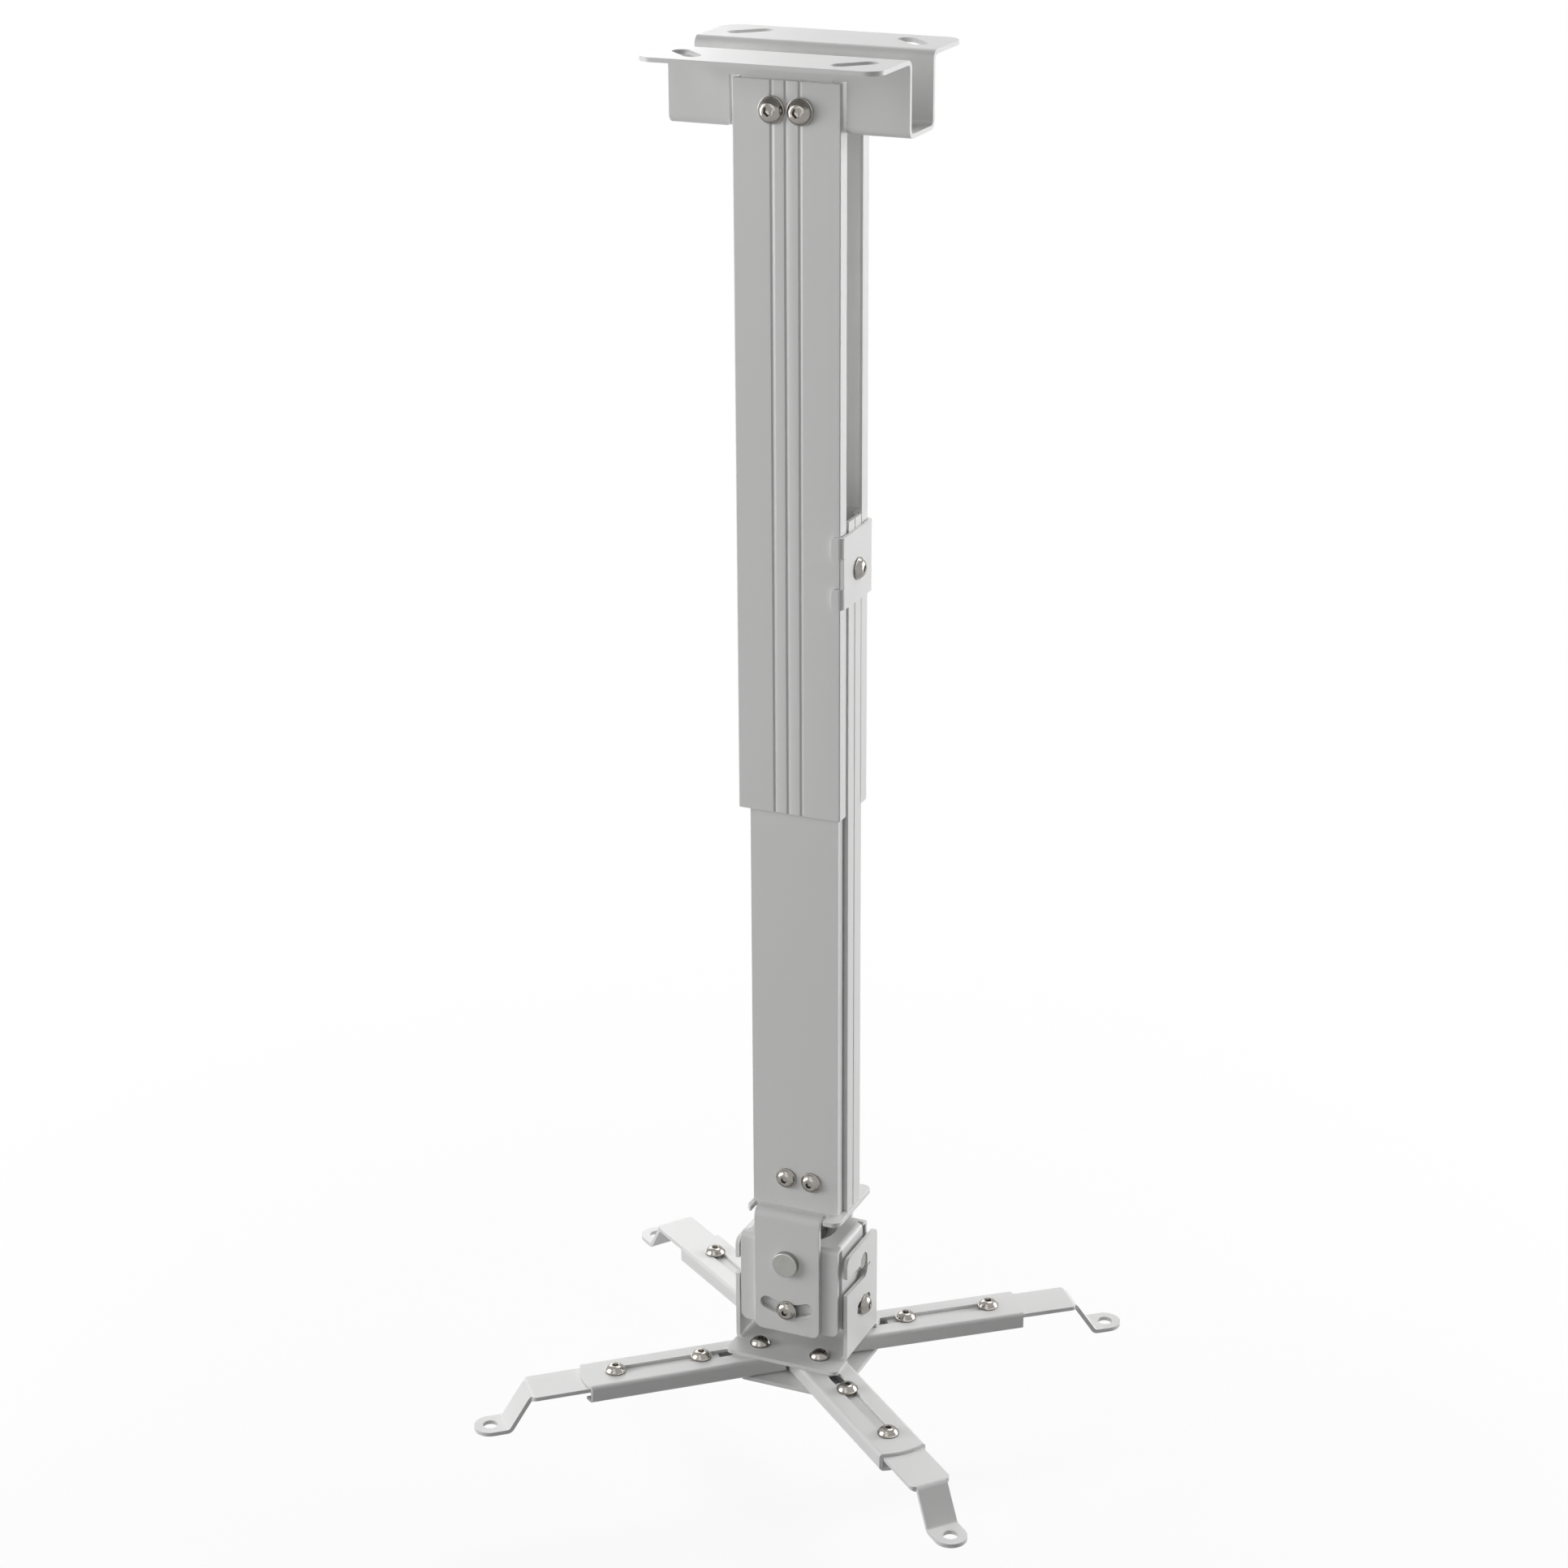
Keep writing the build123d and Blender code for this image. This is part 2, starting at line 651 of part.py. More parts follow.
def hook_bracket():
    """One folded sheet: a base plate with a hooked wall turned up at each side."""
    wall_middle = hook_half_width - sheet / 2
    base_middle = hook_base_under_z + sheet / 2
    wall_top = pitch_axis_z + hook_wall_rise
    section = bent_section(
        [(-wall_middle, wall_top), (-wall_middle, base_middle), (wall_middle, base_middle),
         (wall_middle, wall_top)],
        bend_inner, sheet,
    )
    channel = plate_facing_y(section, -hook_wall_front, hook_wall_back)
    wall_corners = channel.edges().filter_by(Axis.X).group_by(Axis.Z)[-1]
    channel = fillet(wall_corners, hook_wall_corner)
    bend_outer = bend_inner + sheet
    bend_room = Rectangle(bend_outer, hook_wall_front + hook_wall_back)
    base = RectangleRounded(hook_width, hook_base_depth, hook_base_corner)
    base -= [
        Pos(side * (hook_half_width - bend_outer / 2), (hook_wall_back - hook_wall_front) / 2) * bend_room
        for side in (-1, 1)
    ]
    body = channel + prism(base, hook_base_under_z, hook_base_top_z)
    sweep = 2 * pitch_slot_half_angle
    slot_line = CenterArc(
        (pitch_axis_y, pitch_axis_z), pitch_slot_radius, -90 - pitch_slot_half_angle, sweep
    )
    wall_cuts = SlotArc(slot_line, pitch_slot_width) + hook_cut()
    body -= bar_along_x(wall_cuts, -hook_half_width - cut_over, hook_half_width + cut_over)
    return body - prism(pivot_holes(hole_gap), hook_base_under_z - cut_over, hook_base_top_z + cut_over)


def pivot_holes(gap):
    return Sketch() + [Pos(*pivot) * Circle(small_shank_radius + gap) for pivot in arm_pivots.values()]


def clamp_plate():
    outline = Rectangle(clamp_length, clamp_depth)
    outline = chamfer(outline.vertices(), clamp_corner)
    return prism(outline - pivot_holes(hole_gap), clamp_bottom_z, clamp_top_z)


def pivot_bolts():
    length = hook_base_top_z - clamp_bottom_z + small_nut_height + thread_over
    return [Pos(*pivot, hook_base_top_z) * small_screw(length) for pivot in arm_pivots.values()]


def pivot_nuts():
    nut = hex_nut(small_nut_width, small_nut_height, small_shank_radius)
    return [Pos(*pivot, clamp_bottom_z) * nut for pivot in arm_pivots.values()]


def placed_on_arm(piece, corner):
    """The piece, drawn along +X from the pivot, turned to its arm's direction."""
    return Pos(*arm_pivots[corner]) * Rot(0, 0, arm_azimuths[corner]) * piece


def arm():
    """A lipped channel, open below, along +X from its pivot."""
    half_sheet = arm_sheet / 2
    web_middle = arm_top_z - half_sheet
    wall_middle = arm_width / 2 - half_sheet
    lip_middle = arm_bottom_z + half_sheet
    lip_tip = arm_width / 2 - arm_lip
    section = bent_section(
        [(-lip_tip, lip_middle), (-wall_middle, lip_middle), (-wall_middle, web_middle),
         (wall_middle, web_middle), (wall_middle, lip_middle), (lip_tip, lip_middle)],
        arm_bend_inner, arm_sheet,
    )
    channel = bar_along_x(section, -arm_inner_end, arm_outer_end)
    half_width = arm_width / 2
    side_end = arm_outer_end - arm_end_crown
    sides = Polyline(
        (side_end, half_width), (-arm_inner_end, half_width), (-arm_inner_end, -half_width),
        (side_end, -half_width),
    )
    crown = ThreePointArc((side_end, -half_width), (arm_outer_end, 0), (side_end, half_width))
    channel = channel & prism(make_face([sides, crown]), arm_bottom_z - cut_over, arm_top_z + cut_over)
    slot_middle = (arm_slot_start + arm_slot_end) / 2
    slot = Pos(slot_middle, 0) * SlotOverall(arm_slot_end - arm_slot_start, arm_slot_width)
    cuts = slot + Circle(small_shank_radius + running_gap)
    return channel - prism(cuts, arm_web_under_z - cut_over, arm_top_z + cut_over)


def foot():
    """A strip that slides inside the arm, stepped down to an ear with a hole."""
    middle = foot_top_z - foot_sheet / 2
    ear_middle = middle - foot_drop
    tip = foot_ear_hole + foot_ear_width / 2
    section = bent_section(
        [(foot_inner_end, middle), (foot_shoulder, middle), (foot_toe, ear_middle), (tip, ear_middle)],
        foot_bend - foot_sheet / 2, foot_sheet,
    )
    strip = plate_facing_y(section, -foot_width / 2, foot_width / 2)
    wide = Pos((foot_inner_end + foot_shoulder) / 2, 0) * Rectangle(foot_shoulder - foot_inner_end, foot_width)
    narrow_start = foot_shoulder - foot_width / 2
    narrow = Pos((narrow_start + foot_ear_hole) / 2, 0) * Rectangle(
        foot_ear_hole - narrow_start, foot_ear_width
    )
    outline = fillet(wide.vertices().group_by(Axis.X)[-1], foot_shoulder_radius)
    outline += narrow + Pos(foot_ear_hole, 0) * Circle(foot_ear_width / 2)
    outline -= Pos(foot_ear_hole, 0) * Circle(foot_ear_hole_radius)
    for along in (foot_screw_inner, foot_screw_outer):
        outline -= Pos(along, 0) * Circle(small_shank_radius + hole_gap)
    return strip & prism(outline, ear_middle - foot_sheet, arm_top_z)


def foot_screws():
    length = arm_top_z - foot_bottom_z + small_nut_height + thread_over / 2
    return [Pos(along, 0, arm_top_z) * small_screw(length) for along in (foot_screw_inner, foot_screw_outer)]


def foot_screw_nuts():
    nut = hex_nut(small_nut_width, small_nut_height, small_shank_radius)
    return [Pos(along, 0, foot_bottom_z) * nut for along in (foot_screw_inner, foot_screw_outer)]


def turned_about(pieces):
    """The same pieces seen from the other side, half a turn about Z."""
    return [Rot(0, 0, 180) * piece for piece in pieces]


def write(name, pieces):
    whole = Compound(children=pieces) if isinstance(pieces, list) else pieces
    export_step(whole, os.path.join("parts", name + ".step"))


def main():
    os.makedirs("parts", exist_ok=True)
    write("ceiling_bracket", ceiling_bracket())
    channel = outer_channel()
    write("outer_mast_front", channel)
    write("outer_mast_back", Rot(0, 0, 180) * channel)
    for name, front in (("front", True), ("back", False)):
        write("mast_bolts_" + name, mast_bolts(front))
        write("mast_nuts_" + name, mast_nuts(front))
        write("end_bolts_" + name, end_bolts(front))
        write("end_nuts_" + name, end_nuts(front))
    write("inner_mast", inner_mast())
    write("mast_clip", mast_clip())
    write("clip_screw", clip_screw())
    write("clip_nut", clip_nut())
    write("end_bracket", end_bracket())
    write("swivel_stud", swivel_stud())
    write("swivel_nut", swivel_nut())
    write("yoke", yoke())
    write("cradle", cradle())
    write("roll_rivets", [roll_rivet()] + turned_about([roll_rivet()]))
    write("roll_bolts", [roll_bolt()] + turned_about([roll_bolt()]))
    write("roll_nuts", [roll_nut()] + turned_about([roll_nut()]))
    write("hook_pins", mirrored_pair(hook_pin(), Plane.YZ))
    write("pitch_bolts", mirrored_pair(pitch_bolt(), Plane.YZ))
    write("pitch_nuts", mirrored_pair(pitch_nut(), Plane.YZ))
    write("hook_bracket", hook_bracket())
    write("clamp_plate", clamp_plate())
    write("pivot_bolts", pivot_bolts())
    write("pivot_nuts", pivot_nuts())
    arm_channel = arm()
    foot_strip = foot()
    for corner in arm_pivots:
        write("arm_" + corner, placed_on_arm(arm_channel, corner))
        write("foot_" + corner, placed_on_arm(foot_strip, corner))
        write("foot_screws_" + corner, [placed_on_arm(screw, corner) for screw in foot_screws()])
        write("foot_nuts_" + corner, [placed_on_arm(nut, corner) for nut in foot_screw_nuts()])


main()
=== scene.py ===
import bpy
import json
import math
from mathutils import Matrix, Vector


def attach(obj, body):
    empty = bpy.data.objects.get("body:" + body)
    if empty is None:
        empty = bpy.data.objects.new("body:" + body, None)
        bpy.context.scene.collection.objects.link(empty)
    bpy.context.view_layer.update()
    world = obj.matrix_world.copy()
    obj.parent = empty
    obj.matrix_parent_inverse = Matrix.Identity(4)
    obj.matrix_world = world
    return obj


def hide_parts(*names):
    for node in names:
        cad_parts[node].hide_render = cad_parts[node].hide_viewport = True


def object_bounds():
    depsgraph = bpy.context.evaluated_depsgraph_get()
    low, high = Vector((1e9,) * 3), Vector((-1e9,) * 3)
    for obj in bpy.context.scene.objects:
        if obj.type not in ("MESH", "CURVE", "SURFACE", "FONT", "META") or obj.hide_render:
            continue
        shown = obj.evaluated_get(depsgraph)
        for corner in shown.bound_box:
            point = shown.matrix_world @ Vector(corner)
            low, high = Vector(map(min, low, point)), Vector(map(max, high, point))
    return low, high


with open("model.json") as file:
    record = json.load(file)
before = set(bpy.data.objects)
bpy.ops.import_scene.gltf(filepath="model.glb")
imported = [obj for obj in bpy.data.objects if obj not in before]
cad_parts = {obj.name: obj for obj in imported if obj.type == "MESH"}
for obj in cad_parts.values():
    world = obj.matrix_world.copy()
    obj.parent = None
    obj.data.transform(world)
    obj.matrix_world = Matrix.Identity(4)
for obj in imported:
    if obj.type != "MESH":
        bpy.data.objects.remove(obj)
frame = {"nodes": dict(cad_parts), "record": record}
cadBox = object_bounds()
nodes = frame["nodes"]
bodyOfNode = {n: b for b, members in frame["record"]["behaviour"]["bodies"].items() for n in members}
slotOfNode = {s["node"]: s["material_slot"] for s in frame["record"]["subparts"]}
mm = 0.001
print("frame loaded:", len(nodes), "nodes")


# Small helpers

digits = {"join": 6, "sort": 5}


def deselectAll():
    bpy.ops.object.select_all(action="DESELECT")


def activate(piece):
    deselectAll()
    piece.select_set(True)
    bpy.context.view_layer.objects.active = piece


def applyModifier(piece, kind, **values):
    activate(piece)
    modifier = piece.modifiers.new(kind.title(), kind)
    for key, value in values.items():
        setattr(modifier, key, value)
    bpy.ops.object.modifier_apply(modifier=modifier.name)


def dress(piece, nodeName):
    # names the piece, gives it its node's material, and puts it in the node's place
    piece.name = nodeName + "_finish"
    piece.data.name = piece.name
    piece.data.materials.clear()
    piece.data.materials.append(materials[slotOfNode[nodeName]])
    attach(piece, bodyOfNode[nodeName])
    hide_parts(nodeName)


def solidsOf(nodeName):
    # the box of each separate solid in a CAD node, as (low, high)
    mesh = nodes[nodeName].data
    keys = [tuple(round(c, digits["join"]) for c in v.co) for v in mesh.vertices]
    parent = {k: k for k in keys}

    def root(k):
        while parent[k] != k:
            parent[k] = parent[parent[k]]
            k = parent[k]
        return k

    for face in mesh.polygons:
        first = root(keys[face.vertices[0]])
        for index in face.vertices[1:]:
            parent[root(keys[index])] = first
    groups = {}
    for k in parent:
        groups.setdefault(root(k), []).append(k)
    boxes = []
    for points in groups.values():
        low = Vector([min(p[i] for p in points) for i in range(3)])
        high = Vector([max(p[i] for p in points) for i in range(3)])
        boxes.append((low, high))
    return sorted(boxes, key=lambda b: tuple(round(c, digits["sort"]) for c in b[0]))


# Shared shader groups

def newGroup(name, inputs, outputs):
    group = bpy.data.node_groups.new(name, "ShaderNodeTree")
    for label, kind, default in inputs:
        socket = group.interface.new_socket(label, in_out="INPUT", socket_type=kind)
        socket.default_value = default
    for label, kind in outputs:
        group.interface.new_socket(label, in_out="OUTPUT", socket_type=kind)
    return group, group.nodes.new("NodeGroupInput"), group.nodes.new("NodeGroupOutput")


def addNode(tree, kind, **values):
    node = tree.nodes.new(kind)
    for key, value in values.items():
        setattr(node, key, value)
    return node


def mathNode(tree, operation, first, second):
    node = addNode(tree, "ShaderNodeMath", operation=operation)
    for socket, value in zip(node.inputs, (first, second)):
        if isinstance(value, (int, float)):
            socket.default_value = value
        else:
            tree.links.new(value, socket)
    return node.outputs[0]


def noiseNode(tree, place, detail, scale=None):
    noise = addNode(tree, "ShaderNodeTexNoise")
    noise.inputs["Detail"].default_value = detail
    if scale is not None:
        noise.inputs["Scale"].default_value = scale
    tree.links.new(place, noise.inputs["Vector"])
    return noise


def shadeTone(group, start, end, shade):
    # the group's tone times a shade near 1
    tone = addNode(group, "ShaderNodeMix", data_type="RGBA", blend_type="MULTIPLY")
    tone.inputs["Factor"].default_value = 1.0
    group.links.new(start.outputs["Tone"], tone.inputs["A"])
    group.links.new(shade, tone.inputs["B"])
    group.links.new(tone.outputs["Result"], end.inputs["Color"])


def wanderRoughness(group, start, end, centred, amount):
    wander = mathNode(group, "MULTIPLY", centred, amount)
    group.links.new(mathNode(group, "ADD", start.outputs["Roughness"], wander), end.inputs["Roughness"])


coatPattern = {"peelDetail": 1.5, "driftScale": 14.0, "driftDetail": 3.0, "roughnessWander": 0.25,
               "nibScale": 90.0, "nibRadius": 0.045, "nibRarity": 0.8, "nibShade": -0.05, "nibHeight": 1.5}
platePattern = {"grainDetail": 2.0, "stainScale": 260.0, "stainDetail": 4.0, "roughnessWander": 0.3}


def makeCoatGroup():
    # powder coat: an orange-peel height, a slow tone drift and a few nibs
    group, start, end = newGroup(
        "coatSurface",
        [("Peel Scale", "NodeSocketFloat", 900.0), ("Drift", "NodeSocketFloat", 0.03),
         ("Roughness", "NodeSocketFloat", 0.4), ("Tone", "NodeSocketColor", (0.8, 0.8, 0.8, 1))],
        [("Color", "NodeSocketColor"), ("Roughness", "NodeSocketFloat"), ("Height", "NodeSocketFloat")])
    place = addNode(group, "ShaderNodeTexCoord").outputs["Object"]
    peel = noiseNode(group, place, coatPattern["peelDetail"])
    group.links.new(start.outputs["Peel Scale"], peel.inputs["Scale"])
    drift = noiseNode(group, place, coatPattern["driftDetail"], coatPattern["driftScale"])
    nibs = addNode(group, "ShaderNodeTexVoronoi")
    nibs.inputs["Scale"].default_value = coatPattern["nibScale"]
    group.links.new(place, nibs.inputs["Vector"])
    nibMask = mathNode(group, "LESS_THAN", nibs.outputs["Distance"], coatPattern["nibRadius"])
    rarity = mathNode(group, "GREATER_THAN", nibs.outputs["Color"], coatPattern["nibRarity"])
    nibMask = mathNode(group, "MULTIPLY", nibMask, rarity)
    centred = mathNode(group, "SUBTRACT", drift.outputs["Fac"], 0.5)
    change = mathNode(group, "MULTIPLY", centred, start.outputs["Drift"])
    shade = mathNode(group, "ADD", change, 1.0)
    nibShade = mathNode(group, "MULTIPLY", nibMask, coatPattern["nibShade"])
    shadeTone(group, start, end, mathNode(group, "ADD", shade, nibShade))
    wanderRoughness(group, start, end, centred, coatPattern["roughnessWander"])
    nibHeight = mathNode(group, "MULTIPLY", nibMask, coatPattern["nibHeight"])
    group.links.new(mathNode(group, "ADD", peel.outputs["Fac"], nibHeight), end.inputs["Height"])
    return group


def makeMetalGroup():
    # plated steel: a short grain in the height, and slow stains in the tone and the roughness
    group, start, end = newGroup(
        "platedSurface",
        [("Grain Scale", "NodeSocketFloat", 2500.0), ("Roughness", "NodeSocketFloat", 0.15),
         ("Tone", "NodeSocketColor", (0.6, 0.6, 0.58, 1)), ("Stain", "NodeSocketFloat", 0.2)],
        [("Color", "NodeSocketColor"), ("Roughness", "NodeSocketFloat"), ("Height", "NodeSocketFloat")])
    place = addNode(group, "ShaderNodeTexCoord").outputs["Object"]
    grain = noiseNode(group, place, platePattern["grainDetail"])
    group.links.new(start.outputs["Grain Scale"], grain.inputs["Scale"])
    stain = noiseNode(group, place, platePattern["stainDetail"], platePattern["stainScale"])
    centred = mathNode(group, "SUBTRACT", stain.outputs["Fac"], 0.5)
    change = mathNode(group, "MULTIPLY", centred, start.outputs["Stain"])
    shadeTone(group, start, end, mathNode(group, "ADD", change, 1.0))
    wanderRoughness(group, start, end, centred, platePattern["roughnessWander"])
    group.links.new(grain.outputs["Fac"], end.inputs["Height"])
    return group


coatGroup = makeCoatGroup()
metalGroup = makeMetalGroup()
print("shader groups built")


# Materials

looks = {
    "white_coat": {
        "name": "whitePowderCoat", "group": coatGroup,
        "surface": {"Tone": (0.80, 0.80, 0.795, 1), "Roughness": 0.36, "Peel Scale": 1100.0, "Drift": 0.03},
        "shader": {"Metallic": 0.0, "IOR": 1.5},
        "bumpStrength": 0.12, "bumpDistance": 0.08 * mm,
    },
    "coated_aluminium": {
        "name": "mastSatinCoat", "group": coatGroup,
        "surface": {"Tone": (0.79, 0.79, 0.785, 1), "Roughness": 0.42, "Peel Scale": 1500.0, "Drift": 0.02},
        "shader": {"Metallic": 0.0, "IOR": 1.5},
        "bumpStrength": 0.1, "bumpDistance": 0.06 * mm,
        "drawScale": (900.0, 900.0, 6.0), "drawDetail": 2.0, "drawStrength": 0.25,
    },
    "nickel_screws": {
        "name": "brightNickel", "group": metalGroup,
        "surface": {"Tone": (0.30, 0.283, 0.262, 1), "Roughness": 0.13, "Grain Scale": 3000.0, "Stain": 0.35},
        "shader": {"Metallic": 1.0},
        "bumpStrength": 0.06, "bumpDistance": 0.03 * mm,
    },
    "zinc_steel": {
        "name": "dullZinc", "group": metalGroup,
        "surface": {"Tone": (0.36, 0.365, 0.345, 1), "Roughness": 0.36, "Grain Scale": 4200.0, "Stain": 0.22},
        "shader": {"Metallic": 1.0},
        "bumpStrength": 0.1, "bumpDistance": 0.03 * mm,
    },
}


def addDrawLines(tree, look, height):
    # faint lines along the extrusion
    place = addNode(tree, "ShaderNodeTexCoord")
    stretch = addNode(tree, "ShaderNodeMapping")
    stretch.inputs["Scale"].default_value = look["drawScale"]
    tree.links.new(place.outputs["Object"], stretch.inputs["Vector"])
    lines = noiseNode(tree, stretch.outputs["Vector"], look["drawDetail"], 1.0)
    drawn = mathNode(tree, "MULTIPLY", lines.outputs["Fac"], look["drawStrength"])
    return mathNode(tree, "ADD", drawn, height)


def makeMaterial(look):
    material = bpy.data.materials.new(look["name"])
    material.use_nodes = True
    tree = material.node_tree
    shader = tree.nodes["Principled BSDF"]
    for key, value in look["shader"].items():
        shader.inputs[key].default_value = value
    surface = addNode(tree, "ShaderNodeGroup", node_tree=look["group"])
    for key, value in look["surface"].items():
        surface.inputs[key].default_value = value
    height = surface.outputs["Height"]
    if "drawScale" in look:
        height = addDrawLines(tree, look, height)
    bump = addNode(tree, "ShaderNodeBump")
    bump.inputs["Strength"].default_value = look["bumpStrength"]
    bump.inputs["Distance"].default_value = look["bumpDistance"]
    tree.links.new(surface.outputs["Color"], shader.inputs["Base Color"])
    tree.links.new(surface.outputs["Roughness"], shader.inputs["Roughness"])
    tree.links.new(height, bump.inputs["Height"])
    tree.links.new(bump.outputs["Normal"], shader.inputs["Normal"])
    return material


materials = {slotName: makeMaterial(look) for slotName, look in looks.items()}
for nodeName, node in nodes.items():
    node.data.materials.clear()
    node.data.materials.append(materials[slotOfNode[nodeName]])
print("materials set on the frame")


# Folded sheets and extrusions: the frame's own forms with their edges rounded by the paint

coatedEdges = {
    "sheet": {"width": 0.35 * mm, "segments": 3},
    "extrusion": {"width": 0.25 * mm, "segments": 2},
    "turned": {"width": 0.15 * mm, "segments": 2},
    "sharpAngle": math.radians(38),
    "flatAngle": math.radians(0.4),
    "mergeDistance": 0.002 * mm,
}


def roundedCopy(nodeName, edge):
    piece = bpy.data.objects.new(nodeName + "_finish", nodes[nodeName].data.copy())
    bpy.context.scene.collection.objects.link(piece)
    activate(piece)
    bpy.ops.object.mode_set(mode="EDIT")
    bpy.ops.mesh.select_all(action="SELECT")
    bpy.ops.mesh.remove_doubles(threshold=coatedEdges["mergeDistance"])
    bpy.ops.mesh.dissolve_limited(angle_limit=coatedEdges["flatAngle"])
    bpy.ops.object.mode_set(mode="OBJECT")
    applyModifier(piece, "BEVEL", width=edge["width"], segments=edge["segments"], limit_method="ANGLE",
                  angle_limit=coatedEdges["sharpAngle"], use_clamp_overlap=True)
    activate(piece)
    bpy.ops.object.shade_smooth_by_angle(angle=coatedEdges["sharpAngle"])
    applyModifier(piece, "WEIGHTED_NORMAL", keep_sharp=True)
    return piece


# the swivel nut is zinc steel too, but it gets a nut of its own below
edgeOfSlot = {"white_coat": "sheet", "coated_aluminium": "extrusion", "zinc_steel": "turned"}
for nodeName in sorted(nodes):
    slotName = slotOfNode[nodeName]
    if slotName in edgeOfSlot and nodeName != "swivel_nut":
        piece = roundedCopy(nodeName, coatedEdges[edgeOfSlot[slotName]])
        dress(piece, nodeName)
print("sheets, extrusions and turned pins finished")


# Screws, with a flange, a dome and a hex socket

smallScrew = {"flange": 5.15, "flangeHeight": 0.8, "dome": 4.8, "top": 2.35, "height": 3.3, "hex": 3.0,
              "shank": 2.5, "pitch": 0.8}
largeScrew = {"flange": 6.1, "flangeHeight": 1.0, "dome": 5.8, "top": 3.1, "height": 4.4, "hex": 4.0,
              "shank": 3.0, "pitch": 1.0}
screwFinish = {"vertices": 48, "domeSteps": 6, "bulgeShare": 0.09, "socketShare": 0.6, "rimBevel": 0.16,
               "rimAngle": math.radians(50), "smoothAngle": math.radians(40)}
threadFinish = {"depth": 0.3, "steps": 20, "endGap": 0.4, "ridgeRadius": 0.46, "sinkShare": 0.1,
                "mergeDistance": 1e-7}


flatness = {"rise": 1e-6, "level": 0.99}


def selectByHeight(piece, height):
    # selects the faces that lie flat at this height, in edit mode
    bpy.ops.object.mode_set(mode="OBJECT")
    for face in piece.data.polygons:
        isLevel = abs(face.normal.z) > flatness["level"]
        face.select = isLevel and abs(face.center.z - height) < flatness["rise"]
    bpy.ops.object.mode_set(mode="EDIT")


def makeScrew(size, length):
    # the seat is at z = 0, the head above it and the shank below
    bpy.ops.mesh.primitive_cylinder_add(
        vertices=screwFinish["vertices"], radius=size["flange"] * mm, depth=size["flangeHeight"] * mm,
        location=(0, 0, size["flangeHeight"] / 2 * mm))
    piece = bpy.context.object
    bpy.ops.object.transform_apply(location=True)
    bpy.ops.object.mode_set(mode="EDIT")
    bpy.ops.mesh.select_mode(type="FACE")
    bpy.ops.mesh.select_all(action="DESELECT")
    selectByHeight(piece, size["flangeHeight"] * mm)
    bpy.ops.mesh.inset(thickness=(size["flange"] - size["dome"]) * mm)
    rise = size["height"] - size["flangeHeight"]
    steps = screwFinish["domeSteps"]
    bulge = size["height"] * screwFinish["bulgeShare"]
    radius, height = size["dome"], 0.0
    for index in range(1, steps + 1):
        share = index / steps
        # a parabola that is 0 at both ends of the cone and 1 in its middle
        swell = bulge * 4 * share * (1 - share)
        nextRadius = size["dome"] + (size["top"] - size["dome"]) * share + swell
        nextHeight = rise * share + swell
        bpy.ops.mesh.extrude_region_move(
            TRANSFORM_OT_translate={"value": (0, 0, (nextHeight - height) * mm)})
        bpy.ops.transform.resize(value=(nextRadius / radius, nextRadius / radius, 1))
        radius, height = nextRadius, nextHeight
    selectByHeight(piece, 0)
    bpy.ops.mesh.inset(thickness=(size["flange"] - size["shank"]) * mm)
    bpy.ops.mesh.extrude_region_move(TRANSFORM_OT_translate={"value": (0, 0, -length * mm)})
    bpy.ops.object.mode_set(mode="OBJECT")
    depth = size["height"] * screwFinish["socketShare"]
    deselectAll()
    bpy.ops.mesh.primitive_cylinder_add(
        vertices=6, radius=size["hex"] / math.sqrt(3) * mm, depth=2 * depth * mm,
        location=(0, 0, size["height"] * mm))
    cutter = bpy.context.object
    applyModifier(piece, "BOOLEAN", operation="DIFFERENCE", object=cutter, solver="EXACT")
    bpy.data.objects.remove(cutter)
    applyModifier(piece, "BEVEL", width=screwFinish["rimBevel"] * mm, segments=2, limit_method="ANGLE",
                  angle_limit=screwFinish["rimAngle"], use_clamp_overlap=True)
    activate(piece)
    bpy.ops.object.shade_smooth_by_angle(angle=screwFinish["smoothAngle"])
    return piece


def addThread(piece, size, length, turns):
    # a helical ridge round the last turns of the shank, drawn by a triangle
    depth = threadFinish["depth"]
    pitch = size["pitch"]
    radius = pitch * threadFinish["ridgeRadius"]
    bottom = -length + pitch * threadFinish["endGap"]
    deselectAll()
    bpy.ops.mesh.primitive_circle_add(vertices=3, radius=radius * mm, fill_type="NOTHING",
                                      location=(0, 0, 0))
    ridge = bpy.context.object
    bpy.ops.object.mode_set(mode="EDIT")
    bpy.ops.mesh.select_all(action="SELECT")
    bpy.ops.transform.rotate(value=math.pi / 2, orient_axis="X", center_override=(0, 0, 0))
    # the triangle is 1.5 radii high, and is squeezed to the ridge's depth
    bpy.ops.transform.resize(value=(depth / (radius * 1.5), 1, 1))
    sink = depth * threadFinish["sinkShare"]
    bpy.ops.transform.translate(value=((size["shank"] - sink) * mm, 0, bottom * mm))
    bpy.ops.object.mode_set(mode="OBJECT")
    applyModifier(ridge, "SCREW", angle=2 * math.pi, screw_offset=pitch * mm, iterations=turns,
                  steps=threadFinish["steps"], render_steps=threadFinish["steps"], axis="Z")
    activate(ridge)
    bpy.ops.object.mode_set(mode="EDIT")
    bpy.ops.mesh.select_all(action="SELECT")
    bpy.ops.mesh.remove_doubles(threshold=threadFinish["mergeDistance"])
    bpy.ops.mesh.fill_holes(sides=4)
    bpy.ops.mesh.normals_make_consistent(inside=False)
    bpy.ops.object.mode_set(mode="OBJECT")
    deselectAll()
    ridge.select_set(True)
    piece.select_set(True)
    bpy.context.view_layer.objects.active = piece
    bpy.ops.object.join()


